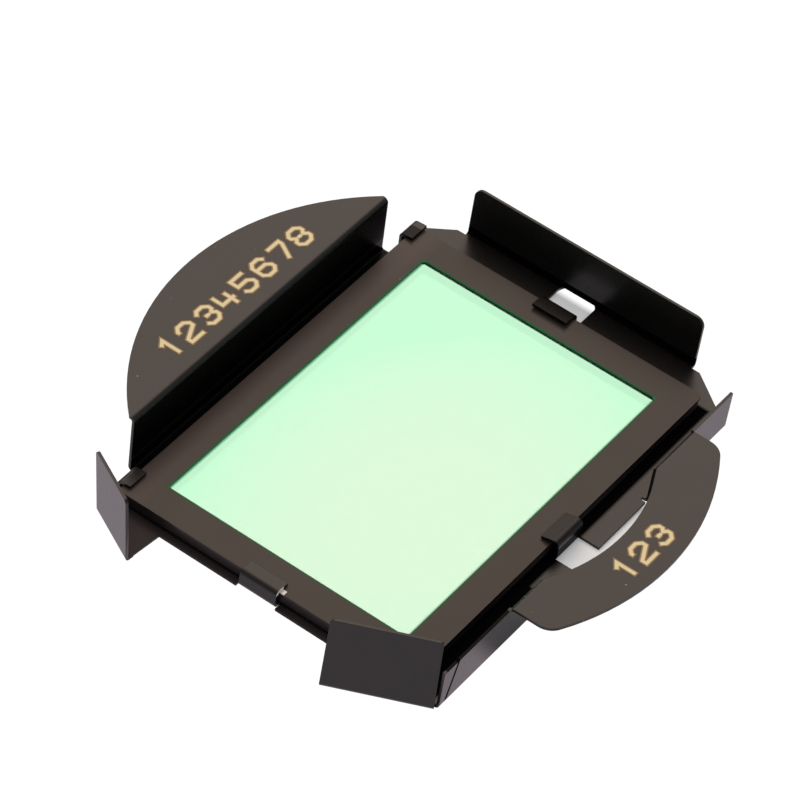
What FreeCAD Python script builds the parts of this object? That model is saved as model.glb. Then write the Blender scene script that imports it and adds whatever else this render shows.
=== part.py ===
import FreeCAD, Part
import math
import os

# Clip-in filter for the mirror box of a camera: one sheet of thin steel is cut and folded into a
# clip frame, whose five straps hold a rectangular filter glass under a thin black mask.
# Millimetres. The origin is the point where the optical axis crosses the underside of the frame's base.
# +X runs along the long side of the window towards the tall end flap, +Y points to the large wing,
# and +Z points up, from the base to the wings.

# Driving dimensions

# Sheet
sheetThickness = 0.3
bendInnerRadius = 0.25
reliefWidth = 0.3
reliefDepth = 0.35
flatOverlap = 0.4
strapSlotWidth = 0.15

# Window, filter glass and mask
windowLength = 39.8
windowWidth = 27.5
windowCornerRadius = 0.4
baseWindowMargin = 0.55
maskEndBorder = 3.4
maskSideBorder = 3.25
maskThickness = 0.2
maskCornerRadius = 0.6
glassSetback = 0.1
glassThickness = 1.2
glassEdgeBevel = 0.1

# Straps that are folded up beside the mask and over its edge
strapClearance = 0.4
strapSeatGap = 0.02
cornerStrapWidth = 2.4
cornerStrapLap = 1.5
cornerStrapTipRise = 0.1
rightCornerStrapInset = 0.9
leftCornerStrapInset = 1.95
endStrapClearance = 0.2
endStrapWidth = 4.0
endStrapLap = 2.0
endStrapTipRise = 0.25
endStrapY = 0.15
openStrapClearance = 0.65
openStrapWidth = 3.9
openStrapLap = 2.05
openStrapArch = 0.55
openStrapX = -0.05
leftStrapClearance = 0.45
leftStrapLean = 0.26
leftStrapWidth = 4.2
leftStrapLap = 1.6
leftStrapY = 0.2
punchedHoleWidth = 4.3
punchedHoleY = 0.2
punchedHoleCornerRadius = 0.8
punchedHoleRise = 0.45
punchedHoleOvercut = 0.02
punchedNotchWidth = 3.85
punchedNotchX = -0.15

# Base of the frame
leftEdgeMargin = 0.1
endLedgeLength = 3.5
farWallGap = 1.15
nearLedgeLength = 2.55
farChamferLength = 3.1
nearChamferLength = 4.9
openEdgeInset = 0.15

# Large wing: a circular segment on top of the far wall, which is as long as the circle's chord
wingRadius = 27.0
farWingTop = 7.0
farWingCentre = (0.15, 0.6)
farWallEndTrim = 0.32

# Small wing: a crescent on top of the near wall, with a cut-out through wing and wall
nearWingTop = 4.95
nearWingCentre = (0.6, -1.2)
nearWingLeftTrim = 5.25
nearWingRightTrim = 3.75
nearWingCornerRadius = 2.0
nearWallLean = 1.6
cutOutRadius = 18.5
cutOutCentre = (0.6, -4.3)

# Slanted slit at the left end of the near wall, which leaves a narrow ear beside the front flap
earGap = 0.52
earWidth = 0.7
slitWidth = 0.36
slitFootZ = 0.55
slitSlant = 1.25

# Tall flap on the right short side
tallFlapFarY = 13.6
tallFlapNearY = -13.5
tallFlapHeight = 6.15
tallFlapLean = 3.0
tallFlapCornerRadius = 1.0

# Two slanted flaps at the left corners. Each folds up along the outer edge of a lug of the base.
leftLugY = 11.75
leftLugRootY = 11.4
leftLugLength = 4.45
leftLugEndLength = 1.35
leftFlapHeight = 8.5
leftFlapLean = 3.6
leftFlapRadii = (0.4, 0.4)
frontLugY = -10.55
frontLugLength = 4.6
frontLugEndLength = 0.02
frontFlapEndInset = 0.2
frontFlapHeight = 8.8
frontFlapLean = -3.4
frontFlapRadii = (0.9, 0.3)

# Values worked out from the driving dimensions

bendOuterRadius = bendInnerRadius + sheetThickness
bendZone = bendOuterRadius + reliefDepth - flatOverlap / 2
maskLength = windowLength + 2 * maskEndBorder
maskWidth = windowWidth + 2 * maskSideBorder
maskTop = sheetThickness + glassThickness + maskThickness
strapTop = maskTop + strapSeatGap + sheetThickness
strapFaceX = maskLength / 2 + strapClearance + sheetThickness
strapFaceY = maskWidth / 2 + strapClearance + sheetThickness
endStrapFaceX = maskLength / 2 + endStrapClearance + sheetThickness
leftStrapFaceX = -maskLength / 2 - leftStrapClearance - sheetThickness
openStrapFaceY = maskWidth / 2 + openStrapClearance + sheetThickness
rightCornerStrapX = maskLength / 2 - rightCornerStrapInset
leftCornerStrapX = -maskLength / 2 + leftCornerStrapInset
cornerReliefHalf = cornerStrapWidth / 2 + strapSlotWidth

baseLeftX = -strapFaceX - leftEdgeMargin
baseFarY = strapFaceY
farWallY = baseFarY + farWallGap
nearWallY = -strapFaceY - nearLedgeLength
baseNearY = nearWallY + openEdgeInset
tallFlapX = strapFaceX + endLedgeLength
punchedHoleEndX = tallFlapX + punchedHoleOvercut
farChamferX = tallFlapX - farChamferLength
nearChamferX = tallFlapX - nearChamferLength

farWallReach = math.sqrt(wingRadius ** 2 - (farWallY - farWingCentre[1]) ** 2)
farWallHalf = farWallReach - farWallEndTrim
farWallLeftX = max(farWingCentre[0] - farWallHalf, leftCornerStrapX + cornerReliefHalf)
farWallRightX = min(farWingCentre[0] + farWallHalf, rightCornerStrapX - cornerReliefHalf)
nearWallReach = math.sqrt(wingRadius ** 2 - (nearWallY - nearWingCentre[1]) ** 2)
nearWingLeftX = nearWingCentre[0] - nearWallReach + nearWingLeftTrim
nearWingRightX = nearWingCentre[0] + nearWallReach - nearWingRightTrim
cutOutPlaneY = nearWallY - nearWingTop * math.tan(math.radians(nearWallLean))
cutOutReach = math.sqrt(cutOutRadius ** 2 - (cutOutPlaneY - cutOutCentre[1]) ** 2)
cutOutLeftX = cutOutCentre[0] - cutOutReach
cutOutRightX = cutOutCentre[0] + cutOutReach

leftFlapFoot = ((baseLeftX - leftLugEndLength, baseFarY), (baseLeftX - leftLugLength, leftLugY))
frontFlapFoot = ((baseLeftX - frontLugLength, frontLugY),
                 (baseLeftX - frontLugEndLength, nearWallY + frontFlapEndInset))
nearWallLeftX = baseLeftX - frontLugEndLength + earGap
nearWallRightX = nearChamferX
slitFootX = nearWallLeftX + earWidth
tallestPart = 2 * max(farWingTop, nearWingTop, leftFlapHeight, frontFlapHeight, tallFlapHeight)
farReach = 2 * wingRadius


def unit(vector):
    length = math.hypot(vector[0], vector[1])
    return (vector[0] / length, vector[1] / length)


def roundedEdges(corners):
    # Closed outline as edges. Each corner is (x, y, radius), and a radius of zero keeps it sharp.
    starts = []
    ends = []
    middles = []
    for index, (x, y, radius) in enumerate(corners):
        before = corners[index - 1]
        after = corners[(index + 1) % len(corners)]
        toBefore = unit((before[0] - x, before[1] - y))
        toAfter = unit((after[0] - x, after[1] - y))
        cosine = toBefore[0] * toAfter[0] + toBefore[1] * toAfter[1]
        halfAngle = math.acos(max(-1.0, min(1.0, cosine))) / 2
        setback = radius / math.tan(halfAngle)
        starts.append((x + toBefore[0] * setback, y + toBefore[1] * setback))
        ends.append((x + toAfter[0] * setback, y + toAfter[1] * setback))
        bisector = unit((toBefore[0] + toAfter[0], toBefore[1] + toAfter[1])) if radius else (0, 0)
        depth = radius / math.sin(halfAngle) - radius
        middles.append((x + bisector[0] * depth, y + bisector[1] * depth))
    edges = []
    for index, corner in enumerate(corners):
        start = FreeCAD.Vector(*starts[index], 0)
        end = FreeCAD.Vector(*ends[index], 0)
        following = FreeCAD.Vector(*starts[(index + 1) % len(corners)], 0)
        if corner[2]:
            edges.append(Part.Arc(start, FreeCAD.Vector(*middles[index], 0), end).toShape())
        edges.append(Part.LineSegment(end, following).toShape())
    return edges


def plate(corners, bottom, height):
    # Flat plate with the given outline, from the level bottom upwards
    face = Part.Face(Part.Wire(roundedEdges(corners)))
    face.translate(FreeCAD.Vector(0, 0, bottom))
    return face.extrude(FreeCAD.Vector(0, 0, height))


def rectangle(x0, y0, x1, y1, radius=0.0):
    return [(x0, y0, radius), (x1, y0, radius), (x1, y1, radius), (x0, y1, radius)]


def bentOutline(path):
    # Outline of a bent sheet's section. path runs along its right-hand face, and the sheet lies to the
    # left of it. Each bend has the inner radius on the side that it turns to.
    directions = []
    for (x0, y0), (x1, y1) in zip(path, path[1:]):
        directions.append(unit((x1 - x0, y1 - y0)))
    right = [(path[0][0], path[0][1], 0.0)]
    left = [(path[0][0] - directions[0][1] * sheetThickness,
             path[0][1] + directions[0][0] * sheetThickness, 0.0)]
    for (x, y), before, after in zip(path[1:-1], directions, directions[1:]):
        turn = before[0] * after[1] - before[1] * after[0]
        cosine = before[0] * after[0] + before[1] * after[1]
        mitre = sheetThickness / (1 + cosine)
        shiftX = -(before[1] + after[1]) * mitre
        shiftY = (before[0] + after[0]) * mitre
        turnsLeft = turn > 0
        right.append((x, y, bendOuterRadius if turnsLeft else bendInnerRadius))
        left.append((x + shiftX, y + shiftY, bendInnerRadius if turnsLeft else bendOuterRadius))
    right.append((path[-1][0], path[-1][1], 0.0))
    left.append((path[-1][0] - directions[-1][1] * sheetThickness,
                 path[-1][1] + directions[-1][0] * sheetThickness, 0.0))
    return right + left[::-1]


def bentStrip(foot, path):
    # Sheet with the section path, along the line foot. In the section the first value points out of the
    # frame, to the right of the line's direction, and the second points up.
    (x0, y0), (x1, y1) = foot
    along = unit((x1 - x0, y1 - y0))
    length = math.hypot(x1 - x0, y1 - y0)
    section = Part.Face(Part.Wire(roundedEdges(bentOutline(path))))
    strip = section.extrude(FreeCAD.Vector(0, 0, -length))
    strip.Placement = FreeCAD.Placement(FreeCAD.Matrix(
        along[1], 0, -along[0], x0,
        -along[0], 0, -along[1], y0,
        0, 1, 0, 0,
        0, 0, 0, 1))
    return strip


def wallPath(height, leanDegrees):
    # Base, bend and upright wall. The lean tips the wall's top outwards.
    lean = height * math.tan(math.radians(leanDegrees))
    return [(-bendOuterRadius - flatOverlap, 0), (0, 0), (lean, height)]


def wingPath(top, leanDegrees, reach):
    # Base, wall and a wing that is folded outwards at the top of the wall
    underside = top - sheetThickness
    lean = underside * math.tan(math.radians(leanDegrees))
    return [(-bendOuterRadius - flatOverlap, 0), (0, 0), (lean, underside), (reach, underside)]


def strapPath(top, lap, tipRise, lean):
    # Base, short upright and a lap that is folded inwards over the mask. The lean tips the upright's top
    # towards the mask.
    return [(-bendOuterRadius - flatOverlap, 0), (0, 0), (-lean, top), (-lean - lap, top + tipRise)]


def roundSheetCorners(shape, radius, isWanted):
    # Rounds the corners of a sheet: the short edges that run through its thickness
    wanted = []
    for edge in shape.Edges:
        isShort = abs(edge.Length - sheetThickness) < sheetThickness / 20
        if isShort and isWanted(edge.CenterOfMass):
            wanted.append(edge)
    return shape.makeFillet(radius, wanted)


def lugCorners(flapFoot, endY):
    # Outer corners of a lug, where its flap's bend starts: beside the base's left edge and at endY
    (x0, y0), (x1, y1) = flapFoot
    slope = (x1 - x0) / (y1 - y0)
    shift = bendZone * math.hypot(1.0, slope)
    lugX, lugY = min(flapFoot, key=lambda point: abs(point[1]))
    return (lugX + shift, lugY), (lugX + shift + (endY - lugY) * slope, endY)


def makeBase():
    far = farWallY - bendZone
    near = nearWallY + bendZone
    right = tallFlapX - bendZone
    leftLug, leftLugEnd = lugCorners(leftFlapFoot, baseFarY)
    frontLug, frontLugEnd = lugCorners(frontFlapFoot, near)
    nearSlope = nearChamferLength / (tallFlapNearY - nearWallY)
    farSlope = farChamferLength / (baseFarY - tallFlapFarY)
    outline = [
        (baseLeftX, frontLugY), frontLug, frontLugEnd,
        (cutOutLeftX, near), (cutOutLeftX, baseNearY), (cutOutRightX, baseNearY), (cutOutRightX, near),
        (nearChamferX + (near - nearWallY) * nearSlope, near),
        (right, tallFlapNearY - (tallFlapX - right) / nearSlope),
        (right, tallFlapFarY + (tallFlapX - right) / farSlope),
        (farChamferX, baseFarY),
        (farWallRightX, baseFarY), (farWallRightX, far), (farWallLeftX, far), (farWallLeftX, baseFarY),
        leftLugEnd, leftLug, (baseLeftX, leftLugRootY),
    ]
    base = plate([(x, y, 0.0) for x, y in outline], 0, sheetThickness)
    halfLength = windowLength / 2 + baseWindowMargin
    halfWidth = windowWidth / 2 + baseWindowMargin
    window = plate(rectangle(-halfLength, -halfWidth, halfLength, halfWidth,
                             windowCornerRadius), 0, sheetThickness)
    return base.cut(window)


def makeFarWing():
    foot = ((farWallRightX, farWallY), (farWallLeftX, farWallY))
    strip = bentStrip(foot, wingPath(farWingTop, 0.0, farReach))
    disc = Part.makeCylinder(wingRadius, tallestPart, FreeCAD.Vector(*farWingCentre, 0))
    wing = strip.common(disc)
    wall = bentStrip(foot, wallPath(farWingTop / 2, 0.0))
    return wing.fuse(wall)


def makeCutOut():
    # Tool for the cut-out: a box through the wall and its bend, and outside it the part of a disc that
    # meets the box at its corners
    disc = Part.makeCylinder(cutOutRadius, tallestPart, FreeCAD.Vector(*cutOutCentre, 0))
    inside = Part.makeBox(2 * farReach, farReach, tallestPart,
                          FreeCAD.Vector(-farReach, cutOutPlaneY, 0))
    wallZone = nearWallY + bendOuterRadius + 2 * flatOverlap
    box = Part.makeBox(2 * cutOutReach, wallZone - cutOutPlaneY, tallestPart,
                       FreeCAD.Vector(cutOutLeftX, cutOutPlaneY, 0))
    return disc.cut(inside).fuse(box)


def makeNearWall():
    leftEnd = ((nearWallLeftX, nearWallY), (nearWingLeftX, nearWallY))
    rightEnd = ((nearWingRightX, nearWallY), (nearWallRightX, nearWallY))
    wingFoot = ((nearWingLeftX, nearWallY), (nearWingRightX, nearWallY))
    wing = bentStrip(wingFoot, wingPath(nearWingTop, nearWallLean, farReach))
    wing = wing.common(Part.makeCylinder(wingRadius, tallestPart, FreeCAD.Vector(*nearWingCentre, 0)))
    middleX = (nearWingLeftX + nearWingRightX) / 2
    wing = roundSheetCorners(
        wing, nearWingCornerRadius,
        lambda point: point.y < nearWallY - bendOuterRadius and abs(point.x - middleX) > 1)
    wing = wing.cut(makeCutOut())
    wall = wing
    for foot in (leftEnd, rightEnd):
        wall = wall.fuse(bentStrip(foot, wallPath(nearWingTop, nearWallLean)))
    return wall.cut(makeSlit())


def makeSlit():
    # Slanted slit, drawn in the plane of the near wall
    slant = slitSlant / (nearWingTop - slitFootZ)
    topX = slitFootX + slant * (tallestPart - slitFootZ)
    corners = [(slitFootX, slitFootZ, 0.0), (slitFootX + slitWidth, slitFootZ, 0.0),
               (topX + slitWidth, tallestPart, 0.0), (topX, tallestPart, 0.0)]
    face = Part.Face(Part.Wire(roundedEdges(corners)))
    face.rotate(FreeCAD.Vector(0, 0, 0), FreeCAD.Vector(1, 0, 0), 90)
    face.translate(FreeCAD.Vector(0, nearWallY + 2 * bendZone, 0))
    return face.extrude(FreeCAD.Vector(0, -4 * bendZone, 0))


def makeTallFlap():
    foot = ((tallFlapX, tallFlapNearY), (tallFlapX, tallFlapFarY))
    flap = bentStrip(foot, wallPath(tallFlapHeight, tallFlapLean))
    return roundSheetCorners(flap, tallFlapCornerRadius,
                             lambda point: point.z > tallFlapHeight - sheetThickness)


def makeCornerFlap(foot, height, leanDegrees, radii, lugRoot):
    # Flap on a lug. The first of the radii belongs to the corner above the lug's edge, and there the
    # flap ends in line with that edge, which runs from the foot line to lugRoot.
    flap = bentStrip(foot, wallPath(height, leanDegrees))
    middleY = (foot[0][1] + foot[1][1]) / 2
    lugX, lugY = min(foot, key=lambda point: abs(point[1]))
    side = 1 if lugY > middleY else -1
    for radius, end in zip(radii, (side, -side)):
        flap = roundSheetCorners(
            flap, radius,
            lambda point: point.z > height - sheetThickness and (point.y - middleY) * end > 0)
    slope = (lugRoot[1] - lugY) / (lugRoot[0] - lugX)
    outerX = lugX - 2 * bendZone
    outerY = lugY - 2 * bendZone * slope
    beyond = farReach * side
    trim = [(outerX, outerY, 0.0), (lugRoot[0], lugRoot[1], 0.0),
            (lugRoot[0], lugRoot[1] + beyond, 0.0), (outerX, outerY + beyond, 0.0)]
    return flap.cut(plate(trim, 0, tallestPart))


def strapFoot(centre, width, side):
    # Foot line of a strap on the named side, with the outside of the frame to its right
    x, y = centre
    half = width / 2
    if side == "far":
        return ((x + half, y), (x - half, y))
    if side == "near":
        return ((x - half, y), (x + half, y))
    if side == "right":
        return ((x, y - half), (x, y + half))
    return ((x, y + half), (x, y - half))


straps = [
    {"centre": (rightCornerStrapX, strapFaceY), "side": "far", "width": cornerStrapWidth,
     "top": strapTop, "lap": cornerStrapLap, "tipRise": cornerStrapTipRise, "lean": 0.0},
    {"centre": (leftCornerStrapX, strapFaceY), "side": "far", "width": cornerStrapWidth,
     "top": strapTop, "lap": cornerStrapLap, "tipRise": cornerStrapTipRise, "lean": 0.0},
    {"centre": (endStrapFaceX, endStrapY), "side": "right", "width": endStrapWidth,
     "top": strapTop, "lap": endStrapLap, "tipRise": endStrapTipRise, "lean": 0.0},
    {"centre": (openStrapX, -openStrapFaceY), "side": "near", "width": openStrapWidth,
     "top": strapTop + openStrapArch, "lap": openStrapLap, "tipRise": -openStrapArch, "lean": 0.0},
    {"centre": (leftStrapFaceX, leftStrapY), "side": "left", "width": leftStrapWidth,
     "top": strapTop, "lap": leftStrapLap, "tipRise": 0.0, "lean": leftStrapLean},
]


def strapRelief(strap):
    # Clears the base round a strap's bend, out to the base's edge
    x, y = strap["centre"]
    half = strap["width"] / 2 + strapSlotWidth
    outer = farReach
    if strap["side"] == "far":
        corners = rectangle(x - half, y - bendZone, x + half, outer)
    else:
        corners = rectangle(-outer, y - half, x + bendZone, y + half)
    return plate(corners, 0, sheetThickness)


def punchedOpenings():
    # Hole and notch that two of the straps were cut from. The hole runs on through the bend at the foot
    # of the tall flap.
    rootX = endStrapFaceX - bendZone
    rootY = -openStrapFaceY + bendZone
    holeHalf = punchedHoleWidth / 2
    notchHalf = punchedNotchWidth / 2
    hole = plate([(rootX, punchedHoleY - holeHalf, 0.0),
                  (punchedHoleEndX, punchedHoleY - holeHalf, punchedHoleCornerRadius),
                  (punchedHoleEndX, punchedHoleY + holeHalf, punchedHoleCornerRadius),
                  (rootX, punchedHoleY + holeHalf, 0.0)], 0, punchedHoleRise)
    notch = plate(rectangle(punchedNotchX - notchHalf, 2 * baseNearY, punchedNotchX + notchHalf, rootY),
                  0, sheetThickness)
    return hole, notch


def wallReliefs():
    # Short slots at the ends of the far wall's bend and of the near wall's cut-out
    tools = []
    for x in (farWallLeftX - reliefWidth / 2, farWallRightX + reliefWidth / 2):
        tools.append(plate(rectangle(x - reliefWidth / 2, baseFarY - reliefDepth, x + reliefWidth / 2,
                                     baseFarY + reliefDepth), 0, sheetThickness))
    for x in (cutOutLeftX + reliefWidth / 2, cutOutRightX - reliefWidth / 2):
        tools.append(plate(rectangle(x - reliefWidth / 2, 2 * baseNearY, x + reliefWidth / 2,
                                     nearWallY + bendZone), 0, sheetThickness))
    return tools


def makeClipFrame():
    frame = makeBase()
    hole, notch = punchedOpenings()
    for tool in wallReliefs() + [hole, notch]:
        frame = frame.cut(tool)
    for strap in straps:
        if strap["side"] in ("far", "left"):
            frame = frame.cut(strapRelief(strap))
    pieces = [makeFarWing(), makeNearWall(), makeTallFlap().cut(hole),
              makeCornerFlap(leftFlapFoot, leftFlapHeight, leftFlapLean, leftFlapRadii,
                             (baseLeftX, leftLugRootY)),
              makeCornerFlap(frontFlapFoot, frontFlapHeight, frontFlapLean, frontFlapRadii,
                             (baseLeftX, frontLugY))]
    for strap in straps:
        foot = strapFoot(strap["centre"], strap["width"], strap["side"])
        path = strapPath(strap["top"], strap["lap"], strap["tipRise"], strap["lean"])
        pieces.append(bentStrip(foot, path))
    for piece in pieces:
        frame = frame.fuse(piece)
    return frame.removeSplitter()


def makeFilterGlass():
    halfLength = maskLength / 2 - glassSetback
    halfWidth = maskWidth / 2 - glassSetback
    glass = plate(rectangle(-halfLength, -halfWidth, halfLength, halfWidth, maskCornerRadius),
                  sheetThickness, glassThickness)
    levels = (sheetThickness, sheetThickness + glassThickness)
    rims = [edge for edge in glass.Edges
            if min(abs(edge.CenterOfMass.z - level) for level in levels) < glassEdgeBevel / 10]
    return glass.makeChamfer(glassEdgeBevel, rims)


def makeMaskPlate():
    bottom = sheetThickness + glassThickness
    mask = plate(rectangle(-maskLength / 2, -maskWidth / 2, maskLength / 2, maskWidth / 2,
                           maskCornerRadius), bottom, maskThickness)
    window = plate(rectangle(-windowLength / 2, -windowWidth / 2, windowLength / 2, windowWidth / 2,
                             windowCornerRadius), bottom, maskThickness)
    return mask.cut(window)


def export(shape, name):
    if shape.ShapeType == "Compound" and len(shape.Solids) == 1:
        shape = shape.Solids[0]
    box = shape.BoundBox
    print(name, "solids", len(shape.Solids), "valid", shape.isValid(), "volume", round(shape.Volume, 2),
          "box", [round(v, 2) for v in (box.XMin, box.XMax, box.YMin, box.YMax, box.ZMin, box.ZMax)])
    shape.exportStep("parts/" + name + ".step")


os.makedirs("parts", exist_ok=True)
export(makeClipFrame(), "clip_frame")
export(makeFilterGlass(), "filter_glass")
export(makeMaskPlate(), "mask_plate")
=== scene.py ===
import bpy
import bmesh
import math
from mathutils import Matrix, Vector


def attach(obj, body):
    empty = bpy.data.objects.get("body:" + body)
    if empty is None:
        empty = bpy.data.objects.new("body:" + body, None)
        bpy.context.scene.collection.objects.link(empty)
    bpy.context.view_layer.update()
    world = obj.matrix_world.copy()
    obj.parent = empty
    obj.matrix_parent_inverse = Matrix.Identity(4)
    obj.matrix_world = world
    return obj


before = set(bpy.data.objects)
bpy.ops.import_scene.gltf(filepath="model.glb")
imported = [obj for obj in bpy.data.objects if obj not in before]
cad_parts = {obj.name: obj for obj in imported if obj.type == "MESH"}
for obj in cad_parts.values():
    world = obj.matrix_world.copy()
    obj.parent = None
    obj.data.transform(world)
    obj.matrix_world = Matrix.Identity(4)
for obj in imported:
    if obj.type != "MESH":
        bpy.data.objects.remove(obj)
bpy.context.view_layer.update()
mm = 0.001


# Shared helpers

# The Mix node's sockets share their names, so they are picked by number
firstValue = 2
secondValue = 3
firstColour = 6
secondColour = 7
mixedColour = 2


def hexColour(code):
    # sRGB hex to the linear values that the shaders take
    values = []
    for start in (0, 2, 4):
        value = int(code[start:start + 2], 16) / 255
        values.append(value / 12.92 if value <= 0.04045 else ((value + 0.055) / 1.055) ** 2.4)
    return (*values, 1.0)


def addNode(tree, kind, settings=None, inputs=None):
    # One node with its settings. An input is a value or the output socket that feeds it.
    node = tree.nodes.new(kind)
    for name, value in (settings or {}).items():
        setattr(node, name, value)
    for name, value in (inputs or {}).items():
        if isinstance(value, bpy.types.NodeSocket):
            tree.links.new(value, node.inputs[name])
        else:
            node.inputs[name].default_value = value
    return node


def newMaterial(name):
    material = bpy.data.materials.new(name)
    material.use_nodes = True
    material.node_tree.nodes.clear()
    return material, material.node_tree


def newObject(name, data):
    item = bpy.data.objects.new(name, data)
    bpy.context.scene.collection.objects.link(item)
    return item


def perMetre(sizeMm):
    # Noise scale for features of this size, because the coordinates are in metres
    return 1 / (sizeMm * mm)


def outsideBox(tree, place, box):
    # 0 inside an upright box of the XY plane and 1 outside it, with a soft edge
    centred = addNode(tree, "ShaderNodeVectorMath", {"operation": "SUBTRACT"}, {
        0: place, 1: (box["centreMm"][0] * mm, box["centreMm"][1] * mm, 0)})
    folded = addNode(tree, "ShaderNodeVectorMath", {"operation": "ABSOLUTE"}, {0: centred.outputs[0]})
    beyond = addNode(tree, "ShaderNodeVectorMath", {"operation": "SUBTRACT"}, {
        0: folded.outputs[0], 1: (box["halfMm"][0] * mm, box["halfMm"][1] * mm, 0)})
    split = addNode(tree, "ShaderNodeSeparateXYZ", {}, {"Vector": beyond.outputs[0]})
    further = addNode(tree, "ShaderNodeMath", {"operation": "MAXIMUM"}, {
        0: split.outputs["X"], 1: split.outputs["Y"]})
    soft = box["softMm"] * mm / 2
    edge = addNode(tree, "ShaderNodeMapRange", {}, {
        "Value": further.outputs[0], "From Min": -soft, "From Max": soft, "To Min": 0.0, "To Max": 1.0})
    return edge.outputs["Result"]


# Black coats of the folded frame and of the mask

# The grain of both is finer than the render can show, so it is drawn about one pixel coarse
framePaint = {
    "colour": "0b0a0b",
    "worn": "15120f",
    "roughness": (0.26, 0.36),
    "ior": 1.37,
    "peelMm": 0.45,
    "grainMm": 0.09,
    "peelHeightMm": 0.003,
    "edgeMm": 0.05,
}

maskFoil = {
    "colour": "2e2926",
    "worn": "37302b",
    "roughness": (0.30, 0.38),
    "ior": 1.27,
    "peelMm": 0.6,
    "grainMm": 0.12,
    "peelHeightMm": 0.0025,
    "edgeMm": 0.02,
}

bothCoats = {
    "cloudMm": 7.0,
    "cloudDetail": 4.0,
    "peelDetail": 3.0,
    "grainDetail": 2.0,
    "grainRange": (0.3, 0.7),
    "peelBump": 0.5,
    "grainBump": 0.35,
    "shine": 0.5,
    "edgeSamples": 6,
}

dust = {
    "colour": "8d867f",
    "spacingMm": 2.6,
    "radiusMm": 0.1,
    "solidShare": 0.4,
    "cellShare": 0.45,
}

# Painted shade and light on the coats: places where a coat has another colour and another specular
# level than elsewhere, darker and duller where shade falls, lighter on the far strip of the mask, with a
# painted glint on a strap's cut end and painted green reflection of the glass beside the window. Each is
# a box, and a later one lies over those before it.
paintedLightAndShadePatches = [
    # Painted shade: a darker coat with less sheen in the grooves, on the ledge at the left end and on the
    # straps
    {"place": "painted shade in the groove along the near wall", "centreMm": (0.0, -17.2), "halfMm": (23.2, 0.9),
     "softMm": 0.35, "heightsMm": (-1.0, 1.6), "colour": "060606", "shine": 0.0},
    {"place": "painted shade on the ledge at the left end", "centreMm": (-27.0, 0.0), "halfMm": (3.6, 22.0),
     "softMm": 0.1, "heightsMm": (-1.0, 0.34), "colour": "2b2627", "shine": 0.08},
    {"place": "painted shade on the end strap", "centreMm": (22.4, 0.15), "halfMm": (1.7, 2.2),
     "softMm": 0.1, "heightsMm": (1.72, 2.6), "colour": "0c0b0a", "shine": 0.14},
    {"place": "painted shade on the right corner strap", "centreMm": (21.2, 16.9), "halfMm": (1.6, 1.7),
     "softMm": 0.1, "heightsMm": (1.72, 2.6), "colour": "0c0b0a", "shine": 0.14},
    # A painted glint on the cut end of the left strap
    {"place": "painted glint on the cut end of the left strap", "centreMm": (-23.4, -2.1), "halfMm": (0.6, 0.24),
     "softMm": 0.02, "heightsMm": (1.6, 2.3), "colour": "d8d4ce", "shine": 0.5},
    # More painted shade, on and before the walls, on the near strap and at the foot of the tall flap
    {"place": "painted shade on the inner side of the far wall", "centreMm": (-2.1, 18.0), "halfMm": (21.7, 0.6),
     "softMm": 0.1, "heightsMm": (-1.0, 6.75), "colour": "050505", "shine": 0.06},
    {"place": "painted shade on the base before the far wall", "centreMm": (-2.1, 17.0), "halfMm": (21.7, 0.9),
     "softMm": 0.1, "heightsMm": (-1.0, 1.4), "colour": "050505", "shine": 0.06},
    {"place": "painted shade on the near strap", "centreMm": (0.1, -16.4), "halfMm": (2.4, 1.7),
     "softMm": 0.1, "heightsMm": (1.72, 3.2), "colour": "121010", "shine": 0.3},
    {"place": "painted shade on the base between the groove and the near wall", "centreMm": (-15.2, -18.6), "halfMm": (8.8, 0.8),
     "softMm": 0.2, "heightsMm": (-1.0, 1.6), "colour": "060606", "shine": 0.0},
    {"place": "painted shade on the top edge of the near wall", "centreMm": (-18.45, -20.1), "halfMm": (4.75, 0.5),
     "softMm": 0.1, "heightsMm": (4.9, 5.0), "colour": "070606", "shine": 0.05},
    {"place": "painted shade at the foot of the tall flap", "centreMm": (27.3, 0.0), "halfMm": (0.35, 17.0),
     "softMm": 0.1, "heightsMm": (0.305, 1.2), "colour": "050505", "shine": 0.0},
    # Painted light on the far strip of the mask, where the far wall shades it
    {"place": "painted light on the far strip of the mask", "centreMm": (0.0, 16.2), "halfMm": (24.0, 1.9),
     "softMm": 1.5, "heightsMm": (1.45, 1.75), "colour": "3f3632", "shine": 0.5},
    # Painted shade tinted with the glass's green reflection, beside the window and on its rim
    {"place": "painted green reflection beside the window", "centreMm": (0.0, 0.0), "halfMm": (20.1, 13.95),
     "softMm": 0.5, "heightsMm": (1.45, 1.75), "colour": "103c1e", "shine": 0.5},
    {"place": "painted green reflection on the rim of the window", "centreMm": (0.0, 0.0), "halfMm": (19.93, 13.78),
     "softMm": 0.02, "heightsMm": (1.45, 1.75), "colour": "1c6b42", "shine": 0.1},
]


def dustMask(tree, place):
    # Sparse specks: small rounds at the middles of some random cells
    radius = dust["radiusMm"] / dust["spacingMm"]
    cells = addNode(tree, "ShaderNodeTexVoronoi", {}, {
        "Vector": place, "Scale": perMetre(dust["spacingMm"])})
    speck = addNode(tree, "ShaderNodeMapRange", {}, {
        "Value": cells.outputs["Distance"], "From Min": dust["solidShare"] * radius, "From Max": radius,
        "To Min": 1.0, "To Max": 0.0})
    channels = addNode(tree, "ShaderNodeSeparateColor", {}, {"Color": cells.outputs["Color"]})
    chosen = addNode(tree, "ShaderNodeMath", {"operation": "LESS_THAN"}, {
        0: channels.outputs[0], 1: dust["cellShare"]})
    both = addNode(tree, "ShaderNodeMath", {"operation": "MULTIPLY"}, {
        0: speck.outputs["Result"], 1: chosen.outputs[0]})
    return both.outputs[0]


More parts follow.
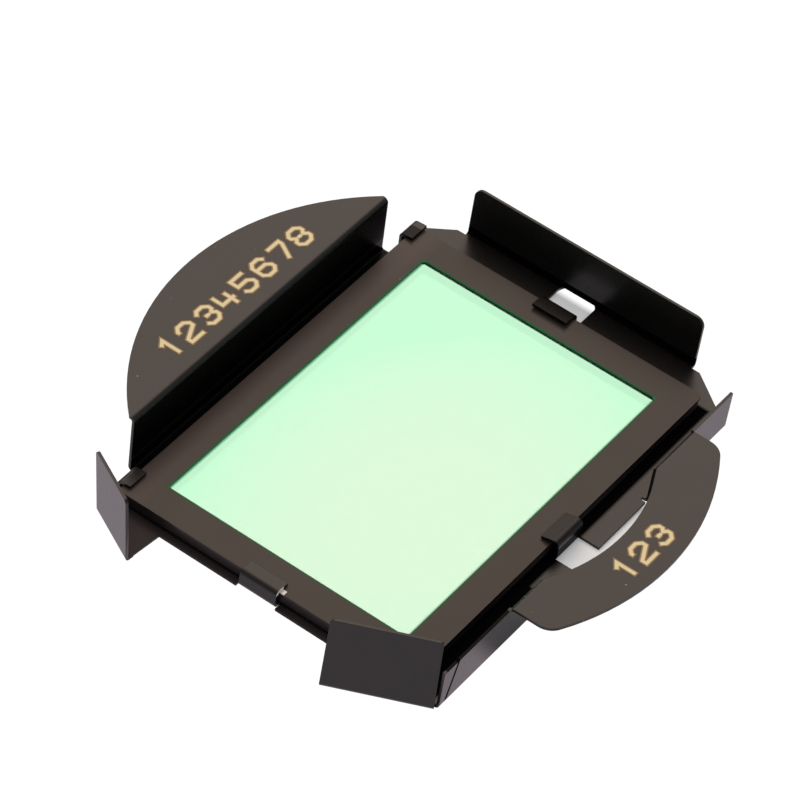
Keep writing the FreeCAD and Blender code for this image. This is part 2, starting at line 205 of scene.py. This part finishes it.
def insidePatch(tree, place, patch):
    # 1 inside the patch's box and between its two heights, and 0 elsewhere
    height = addNode(tree, "ShaderNodeSeparateXYZ", {}, {"Vector": place}).outputs["Z"]
    low, high = patch["heightsMm"]
    above = addNode(tree, "ShaderNodeMath", {"operation": "GREATER_THAN"}, {0: height, 1: low * mm})
    below = addNode(tree, "ShaderNodeMath", {"operation": "LESS_THAN"}, {0: height, 1: high * mm})
    slab = addNode(tree, "ShaderNodeMath", {"operation": "MULTIPLY"}, {
        0: above.outputs[0], 1: below.outputs[0]})
    inside = addNode(tree, "ShaderNodeMath", {"operation": "SUBTRACT", "use_clamp": True}, {
        0: slab.outputs[0], 1: outsideBox(tree, place, patch)})
    return inside.outputs[0]


def blackCoat(name, finish):
    # Thin sprayed black: a low sheen with faint orange peel, fine grain, cloudy wear and a few specks of
    # dust, over which go the patches of painted shade, painted light, a painted glint and painted green
    # reflection. The bevel node rounds the edges of the sheet as the coat does.
    material, tree = newMaterial(name)
    place = addNode(tree, "ShaderNodeTexCoord").outputs["Object"]
    peel = addNode(tree, "ShaderNodeTexNoise", {}, {
        "Vector": place, "Scale": perMetre(finish["peelMm"]), "Detail": bothCoats["peelDetail"]})
    grain = addNode(tree, "ShaderNodeTexNoise", {}, {
        "Vector": place, "Scale": perMetre(finish["grainMm"]), "Detail": bothCoats["grainDetail"]})
    clouds = addNode(tree, "ShaderNodeTexNoise", {}, {
        "Vector": place, "Scale": perMetre(bothCoats["cloudMm"]), "Detail": bothCoats["cloudDetail"]})
    clean = addNode(tree, "ShaderNodeMix", {"data_type": "RGBA"}, {
        "Factor": clouds.outputs["Fac"], firstColour: hexColour(finish["colour"]),
        secondColour: hexColour(finish["worn"])})
    dusty = addNode(tree, "ShaderNodeMix", {"data_type": "RGBA"}, {
        "Factor": dustMask(tree, place), firstColour: clean.outputs[mixedColour],
        secondColour: hexColour(dust["colour"])})
    colour = dusty.outputs[mixedColour]
    shine = bothCoats["shine"]
    # Painted shade and light from the patches, over the coat's colour and specular level
    for patch in paintedLightAndShadePatches:
        inside = insidePatch(tree, place, patch)
        patched = addNode(tree, "ShaderNodeMix", {"data_type": "RGBA", "label": patch["place"]}, {
            "Factor": inside, firstColour: colour, secondColour: hexColour(patch["colour"])})
        colour = patched.outputs[mixedColour]
        level = addNode(tree, "ShaderNodeMix", {}, {
            "Factor": inside, firstValue: shine, secondValue: patch["shine"]})
        shine = level.outputs[0]
    fine, coarse = bothCoats["grainRange"]
    smooth, rough = finish["roughness"]
    roughness = addNode(tree, "ShaderNodeMapRange", {}, {
        "Value": grain.outputs["Fac"], "From Min": fine, "From Max": coarse, "To Min": smooth,
        "To Max": rough})
    rounded = addNode(tree, "ShaderNodeBevel", {"samples": bothCoats["edgeSamples"]}, {
        "Radius": finish["edgeMm"] * mm})
    normal = rounded.outputs["Normal"]
    for relief, strength in ((peel, bothCoats["peelBump"]), (grain, bothCoats["grainBump"])):
        bump = addNode(tree, "ShaderNodeBump", {}, {
            "Height": relief.outputs["Fac"], "Strength": strength,
            "Distance": finish["peelHeightMm"] * mm, "Normal": normal})
        normal = bump.outputs["Normal"]
    shader = addNode(tree, "ShaderNodeBsdfPrincipled", {}, {
        "Base Color": colour, "Specular IOR Level": shine, "Roughness": roughness.outputs["Result"],
        "IOR": finish["ior"], "Normal": normal})
    addNode(tree, "ShaderNodeOutputMaterial", {}, {"Surface": shader.outputs["BSDF"]})
    return material


# Filter glass

filterGlass = {
    # The paler middle against the deeper rim is a painted reflection of the bright ceiling on the mint tint
    "middle": "c1e5c7",
    "rim": "aaeac2",
    # Painted shade: the dark green line on the top face where the mask begins
    "edge": "2c7a50",
    "ior": 1.52,
    "paintedRimShadeBox": {"centreMm": (0.0, 0.0), "halfMm": (19.74, 13.54), "softMm": 0.16},
    "topMm": 1.45,
    "centreMm": (-8.0, -6.0, 0.0),
    "reachMm": (28.0, 20.0, 1000.0),
    "tintPower": 3.0,
    "shadowTint": "eefcf0",
}

blackedSides = {
    "colour": "2c2627",
    "roughness": 0.5,
    "ior": 1.3,
    "steepBelow": 0.5,
}


def coatedGlass():
    # Polished optical glass with a band-pass coating: clear, with a pale mint tint that deepens towards
    # the rim, where the paler middle is a painted reflection of the bright ceiling, and a dark green line
    # of painted shade where the mask begins. Shadow and diffuse rays pass straight through, so the table
    # below the window stays bright. The ground sides are blackened with ink.
    material, tree = newMaterial("coatedGlass")
    place = addNode(tree, "ShaderNodeTexCoord").outputs["Object"]
    centred = addNode(tree, "ShaderNodeVectorMath", {"operation": "SUBTRACT"}, {
        0: place, 1: [value * mm for value in filterGlass["centreMm"]]})
    scaled = addNode(tree, "ShaderNodeVectorMath", {"operation": "DIVIDE"}, {
        0: centred.outputs[0], 1: [value * mm for value in filterGlass["reachMm"]]})
    distance = addNode(tree, "ShaderNodeVectorMath", {"operation": "LENGTH"}, {0: scaled.outputs[0]})
    rimward = addNode(tree, "ShaderNodeMath", {"operation": "POWER", "use_clamp": True}, {
        0: distance.outputs["Value"], 1: filterGlass["tintPower"]})
    # Mint tint with a painted reflection: paler in the middle
    tint = addNode(tree, "ShaderNodeMix", {"data_type": "RGBA"}, {
        "Factor": rimward.outputs[0], firstColour: hexColour(filterGlass["middle"]),
        secondColour: hexColour(filterGlass["rim"])})
    # Painted shade along the top face's rim, where the mask begins
    height = addNode(tree, "ShaderNodeSeparateXYZ", {}, {"Vector": place}).outputs["Z"]
    onTop = addNode(tree, "ShaderNodeMath", {"operation": "GREATER_THAN"}, {
        0: height, 1: filterGlass["topMm"] * mm})
    paintedRimShade = addNode(tree, "ShaderNodeMath", {"operation": "MULTIPLY"}, {
        0: outsideBox(tree, place, filterGlass["paintedRimShadeBox"]), 1: onTop.outputs[0]})
    edged = addNode(tree, "ShaderNodeMix", {"data_type": "RGBA"}, {
        "Factor": paintedRimShade.outputs[0], firstColour: tint.outputs[mixedColour],
        secondColour: hexColour(filterGlass["edge"])})
    polished = addNode(tree, "ShaderNodeBsdfPrincipled", {}, {
        "Base Color": edged.outputs[mixedColour], "Roughness": 0.0, "IOR": filterGlass["ior"],
        "Transmission Weight": 1.0})
    clear = addNode(tree, "ShaderNodeBsdfTransparent", {}, {"Color": hexColour(filterGlass["shadowTint"])})
    path = addNode(tree, "ShaderNodeLightPath")
    straightThrough = addNode(tree, "ShaderNodeMath", {"operation": "MAXIMUM"}, {
        0: path.outputs["Is Shadow Ray"], 1: path.outputs["Is Diffuse Ray"]})
    faces = addNode(tree, "ShaderNodeMixShader", {}, {
        0: straightThrough.outputs[0], 1: polished.outputs["BSDF"], 2: clear.outputs["BSDF"]})
    normal = addNode(tree, "ShaderNodeNewGeometry").outputs["True Normal"]
    normalParts = addNode(tree, "ShaderNodeSeparateXYZ", {}, {"Vector": normal})
    upright = addNode(tree, "ShaderNodeMath", {"operation": "ABSOLUTE"}, {0: normalParts.outputs["Z"]})
    onSide = addNode(tree, "ShaderNodeMath", {"operation": "LESS_THAN"}, {
        0: upright.outputs[0], 1: blackedSides["steepBelow"]})
    ink = addNode(tree, "ShaderNodeBsdfPrincipled", {}, {
        "Base Color": hexColour(blackedSides["colour"]), "Roughness": blackedSides["roughness"],
        "IOR": blackedSides["ior"]})
    pane = addNode(tree, "ShaderNodeMixShader", {}, {
        0: onSide.outputs[0], 1: faces.outputs["Shader"], 2: ink.outputs["BSDF"]})
    addNode(tree, "ShaderNodeOutputMaterial", {}, {"Surface": pane.outputs["Shader"]})
    return material


def dressNode(name, material):
    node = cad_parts[name]
    node.data.materials.clear()
    node.data.materials.append(material)


dressNode("clip_frame", blackCoat("satinBlackPaint", framePaint))
dressNode("mask_plate", blackCoat("blackMaskFoil", maskFoil))
dressNode("filter_glass", coatedGlass())
print("stage: materials on the CAD pieces")


# Plain numerals printed on both wings

inkFinish = {
    "cloudMm": 0.25,
    "cloudDetail": 3.0,
    "thinShare": 0.82,
    "roughness": 0.6,
}

inkLayers = [
    {"part": "Edge", "code": "86693b", "growMm": 0.14, "liftMm": 0.006},
    {"part": "Face", "code": "d9cda0", "growMm": 0.0, "liftMm": 0.012},
]

numeralRows = [
    {"name": "largeWingNumerals", "text": "12345678", "pitchMm": 2.84, "heightMm": 2.55,
     "centreMm": (-0.1, 21.85), "topMm": 7.0},
    {"name": "smallWingNumerals", "text": "123", "pitchMm": 2.78, "heightMm": 2.5,
     "centreMm": (0.25, -25.35), "topMm": 4.95},
]

digitShape = {
    "widthMm": 2.15,
    "strokeMm": 0.37,
    "mergeMm": 0.0005,
}

# Middle lines of the strokes, from (0, 0) at the lower left of a digit to (1, 1) at its upper right. Two
# more numbers at an end move it by half strokes, to where it butts against another stroke.
digitStrokes = {
    "1": [[(0.2, 0.78), (0.58, 1), (0.58, 0)]],
    "2": [[(0, 0.68), (0, 0.8), (0.26, 1), (0.74, 1), (1, 0.8), (1, 0.62), (0, 0.22), (0, 0), (1, 0)]],
    "3": [[(0, 0.8), (0.26, 1), (0.74, 1), (1, 0.8), (1, 0.64), (0.8, 0.5), (1, 0.36), (1, 0.2), (0.74, 0),
           (0.26, 0), (0, 0.2)],
          [(0.3, 0.5), (0.8, 0.5, -1.45, 0)]],
    "4": [[(0, 1), (0, 0.38), (1, 0.38)],
          [(0.74, 0.82), (0.74, 0.38, 0, 1)],
          [(0.74, 0.38, 0, -1), (0.74, 0)]],
    "5": [[(1, 1), (0, 1), (0, 0.56), (0.74, 0.56), (1, 0.36), (1, 0.2), (0.74, 0), (0.26, 0), (0, 0.2)]],
    "6": [[(1, 0.8), (0.74, 1), (0.26, 1), (0, 0.8), (0, 0.2), (0.26, 0), (0.74, 0), (1, 0.2), (1, 0.36),
           (0.74, 0.56), (0, 0.56, 1, 0)]],
    "7": [[(0, 1), (1, 1), (1, 0.8), (0.42, 0)]],
    "8": [[(0.5, 1), (0.74, 1), (1, 0.8), (1, 0.66), (0.78, 0.5), (1, 0.34), (1, 0.2), (0.74, 0), (0.26, 0),
           (0, 0.2), (0, 0.34), (0.22, 0.5), (0, 0.66), (0, 0.8), (0.26, 1), (0.5, 1)],
          [(0.22, 0.5, 1.45, 0), (0.78, 0.5, -1.45, 0)]],
}


def printedInk(name, code):
    # Screen-printed enamel ink: matt, opaque and slightly uneven
    material, tree = newMaterial(name)
    place = addNode(tree, "ShaderNodeTexCoord").outputs["Object"]
    clouds = addNode(tree, "ShaderNodeTexNoise", {}, {
        "Vector": place, "Scale": perMetre(inkFinish["cloudMm"]), "Detail": inkFinish["cloudDetail"]})
    full = hexColour(code)
    thin = (*[value * inkFinish["thinShare"] for value in full[:3]], 1.0)
    colour = addNode(tree, "ShaderNodeMix", {"data_type": "RGBA"}, {
        "Factor": clouds.outputs["Fac"], firstColour: thin, secondColour: full})
    shader = addNode(tree, "ShaderNodeBsdfPrincipled", {}, {
        "Base Color": colour.outputs[mixedColour], "Roughness": inkFinish["roughness"]})
    addNode(tree, "ShaderNodeOutputMaterial", {}, {"Surface": shader.outputs["BSDF"]})
    return material


def addStroke(bm, points, half, growEnds, z):
    # One band of four-sided faces along a line, with mitred corners and square ends
    steps = [(points[index + 1] - points[index]).normalized() for index in range(len(points) - 1)]
    pairs = []
    for index, point in enumerate(points):
        before = steps[max(index - 1, 0)]
        after = steps[min(index, len(steps) - 1)]
        middle = (before + after).normalized()
        reach = half / middle.dot(after)
        side = Vector((-middle.y, middle.x)) * reach
        shift = Vector((0, 0))
        if index == 0:
            shift = -after * growEnds[0]
        if index == len(points) - 1:
            shift = before * growEnds[1]
        pairs.append([bm.verts.new((*(point + shift + sign * side) * mm, z)) for sign in (1, -1)])
    for first, second in zip(pairs, pairs[1:]):
        bm.faces.new((first[0], first[1], second[1], second[0]))


def makeNumerals(row, layer, ink):
    # One row of digits in one layer of ink: flat strokes on the wing, raised to thin closed solids
    half = digitShape["strokeMm"] / 2 + layer["growMm"]
    insideWidth = digitShape["widthMm"] - digitShape["strokeMm"]
    insideHeight = row["heightMm"] - digitShape["strokeMm"]
    z = row["topMm"] * mm
    rowLeft = row["centreMm"][0] - (row["pitchMm"] * (len(row["text"]) - 1) + insideWidth) / 2
    rowFoot = row["centreMm"][1] - insideHeight / 2
    bm = bmesh.new()
    for index, digit in enumerate(row["text"]):
        corner = Vector((rowLeft + index * row["pitchMm"], rowFoot))
        for stroke in digitStrokes[digit]:
            points = []
            for x, y, *butt in stroke:
                point = corner + Vector((x * insideWidth, y * insideHeight))
                points.append(point + Vector(butt or (0, 0)) * half)
            closed = stroke[0][:2] == stroke[-1][:2]
            growEnds = [0 if closed or len(end) > 2 else layer["growMm"] for end in (stroke[0], stroke[-1])]
            addStroke(bm, points, half, growEnds, z)
    bmesh.ops.remove_doubles(bm, verts=bm.verts, dist=digitShape["mergeMm"] * mm)
    raised = bmesh.ops.extrude_face_region(bm, geom=bm.faces[:])
    topCorners = [item for item in raised["geom"] if isinstance(item, bmesh.types.BMVert)]
    bmesh.ops.translate(bm, vec=(0, 0, layer["liftMm"] * mm), verts=topCorners)
    bmesh.ops.recalc_face_normals(bm, faces=bm.faces)
    mesh = bpy.data.meshes.new(row["name"] + layer["part"])
    bm.to_mesh(mesh)
    bm.free()
    mesh.materials.append(ink)
    piece = newObject(row["name"] + layer["part"], mesh)
    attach(piece, "root")


for inkLayer in inkLayers:
    layerInk = printedInk("printedInk" + inkLayer["part"], inkLayer["code"])
    for numeralRow in numeralRows:
        makeNumerals(numeralRow, inkLayer, layerInk)
print("stage: numerals")


# Floor, light and camera

whiteTable = {
    "halfSideMm": 3000.0,
    "topMm": -0.02,
    "albedo": "dfe6ea",
    "glow": 1.04,
    # Pinker glow of the table seen only in reflections: a painted reflection colour
    "paintedReflectionTint": "fff2fb",
    "shadeGlow": 0.2,
    "holeShade": {"centreMm": (25.55, 0.2), "halfMm": (1.1, 3.2), "softMm": 1.0},
    "notchShade": {"centreMm": (1.5, -18.8), "halfMm": (7.6, 2.6), "softMm": 1.6},
    "wingShade": {"centreMm": (0.5, -22.0), "halfMm": (15.5, 6.5), "softMm": 3.0},
}


def makeTable():
    # White table that the light washes out to pure white, save in the shade seen through two cut-outs.
    # The near wall mirrors more of the shade below the small wing. From below the table is invisible, so
    # that the underside of the part can be seen.
    mesh = bpy.data.meshes.new("studioFloor")
    bm = bmesh.new()
    bmesh.ops.create_grid(bm, x_segments=1, y_segments=1, size=whiteTable["halfSideMm"] * mm)
    bmesh.ops.translate(bm, vec=(0, 0, whiteTable["topMm"] * mm), verts=bm.verts)
    bm.to_mesh(mesh)
    bm.free()
    floor = newObject("studioFloor", mesh)
    material, tree = newMaterial("whiteSweep")
    place = addNode(tree, "ShaderNodeTexCoord").outputs["Object"]
    paper = addNode(tree, "ShaderNodeBsdfDiffuse", {}, {"Color": hexColour(whiteTable["albedo"])})
    path = addNode(tree, "ShaderNodeLightPath")
    # Painted reflection colour: the glow is pinker in reflections than to the camera
    tone = addNode(tree, "ShaderNodeMix", {"data_type": "RGBA"}, {
        "Factor": path.outputs["Is Reflection Ray"], firstColour: (1, 1, 1, 1),
        secondColour: hexColour(whiteTable["paintedReflectionTint"])})
    glow = addNode(tree, "ShaderNodeEmission", {}, {
        "Color": tone.outputs[mixedColour], "Strength": whiteTable["glow"]})
    belowWing = addNode(tree, "ShaderNodeMix", {}, {
        "Factor": path.outputs["Is Reflection Ray"],
        firstValue: outsideBox(tree, place, whiteTable["notchShade"]),
        secondValue: outsideBox(tree, place, whiteTable["wingShade"])})
    unshaded = addNode(tree, "ShaderNodeMath", {"operation": "MINIMUM"}, {
        0: outsideBox(tree, place, whiteTable["holeShade"]), 1: belowWing.outputs[0]})
    lit = addNode(tree, "ShaderNodeMath", {"operation": "MAXIMUM"}, {
        0: unshaded.outputs[0], 1: whiteTable["shadeGlow"]})
    seen = addNode(tree, "ShaderNodeMath", {"operation": "SUBTRACT"}, {
        0: 1.0, 1: path.outputs["Is Diffuse Ray"]})
    glowShare = addNode(tree, "ShaderNodeMath", {"operation": "MULTIPLY"}, {
        0: seen.outputs[0], 1: lit.outputs[0]})
    upperSide = addNode(tree, "ShaderNodeMixShader", {}, {
        0: glowShare.outputs[0], 1: paper.outputs["BSDF"], 2: glow.outputs["Emission"]})
    isUnderside = addNode(tree, "ShaderNodeNewGeometry").outputs["Backfacing"]
    clear = addNode(tree, "ShaderNodeBsdfTransparent")
    oneSided = addNode(tree, "ShaderNodeMixShader", {}, {
        0: isUnderside, 1: upperSide.outputs["Shader"], 2: clear.outputs["BSDF"]})
    addNode(tree, "ShaderNodeOutputMaterial", {}, {"Surface": oneSided.outputs["Shader"]})
    mesh.materials.append(material)


paleRoom = {
    "walls": (0.36, 0.36, 0.37),
    "overhead": (0.60, 0.60, 0.61),
    "overheadRise": (0.1, 1.0),
    "window": (3.15, 2.6, 2.25),
    "windowFrom": (0.53, 0.52, 0.67),
    "windowEdge": (0.62, 0.97),
    "windowSill": (0.30, 0.56),
}


def makeRoom():
    # A pale room, lighter overhead, with the warm light of a broad window behind and above the part. To
    # the camera itself the room is plain white.
    world = bpy.data.worlds.new("paleRoom")
    world.use_nodes = True
    world.node_tree.nodes.clear()
    tree = world.node_tree
    direction = addNode(tree, "ShaderNodeTexCoord").outputs["Generated"]
    height = addNode(tree, "ShaderNodeSeparateXYZ", {}, {"Vector": direction}).outputs["Z"]
    facing = addNode(tree, "ShaderNodeVectorMath", {"operation": "DOT_PRODUCT"}, {
        0: direction, 1: Vector(paleRoom["windowFrom"]).normalized()}).outputs["Value"]
    ramps = {}
    for name, value in (("overheadRise", height), ("windowEdge", facing), ("windowSill", height)):
        low, high = paleRoom[name]
        ramp = addNode(tree, "ShaderNodeMapRange", {"interpolation_type": "SMOOTHSTEP"}, {
            "Value": value, "From Min": low, "From Max": high, "To Min": 0.0, "To Max": 1.0})
        ramps[name] = ramp.outputs["Result"]
    walls = addNode(tree, "ShaderNodeMix", {"data_type": "RGBA"}, {
        "Factor": ramps["overheadRise"], firstColour: (*paleRoom["walls"], 1),
        secondColour: (*paleRoom["overhead"], 1)})
    inWindow = addNode(tree, "ShaderNodeMath", {"operation": "MULTIPLY"}, {
        0: ramps["windowEdge"], 1: ramps["windowSill"]})
    light = addNode(tree, "ShaderNodeMix", {"data_type": "RGBA"}, {
        "Factor": inWindow.outputs[0], firstColour: walls.outputs[mixedColour],
        secondColour: (*paleRoom["window"], 1)})
    path = addNode(tree, "ShaderNodeLightPath")
    seen = addNode(tree, "ShaderNodeMix", {"data_type": "RGBA"}, {
        "Factor": path.outputs["Is Camera Ray"], firstColour: light.outputs[mixedColour],
        secondColour: (1, 1, 1, 1)})
    back = addNode(tree, "ShaderNodeBackground", {}, {"Color": seen.outputs[mixedColour], "Strength": 1.0})
    addNode(tree, "ShaderNodeOutputWorld", {}, {"Surface": back.outputs["Background"]})
    bpy.context.scene.world = world


viewpoint = {
    "placeMm": (-267.466, -157.528, 330.915),
    "forward": (0.5935, 0.3560, -0.7218),
    "rollDegrees": 7.975,
    "lens": 217.29,
    "sensorWidth": 36.0,
    "shift": (0.0063, -0.0025),
    "clipMm": (10.0, 20000.0),
}


def makeCamera():
    # Seen from where the photograph was taken
    data = bpy.data.cameras.new("photoView")
    data.sensor_width = viewpoint["sensorWidth"]
    data.sensor_fit = "HORIZONTAL"
    data.lens = viewpoint["lens"]
    data.shift_x, data.shift_y = viewpoint["shift"]
    data.clip_start, data.clip_end = [distance * mm for distance in viewpoint["clipMm"]]
    camera = newObject("photoView", data)
    aim = Vector(viewpoint["forward"]).to_track_quat("-Z", "Y").to_matrix().to_4x4()
    roll = Matrix.Rotation(math.radians(viewpoint["rollDegrees"]), 4, "Z")
    camera.matrix_world = Matrix.Translation(Vector(viewpoint["placeMm"]) * mm) @ aim @ roll
    bpy.context.scene.camera = camera


makeTable()
makeRoom()
makeCamera()
bpy.context.scene.view_settings.view_transform = "Standard"
print("stage: floor, light and camera")
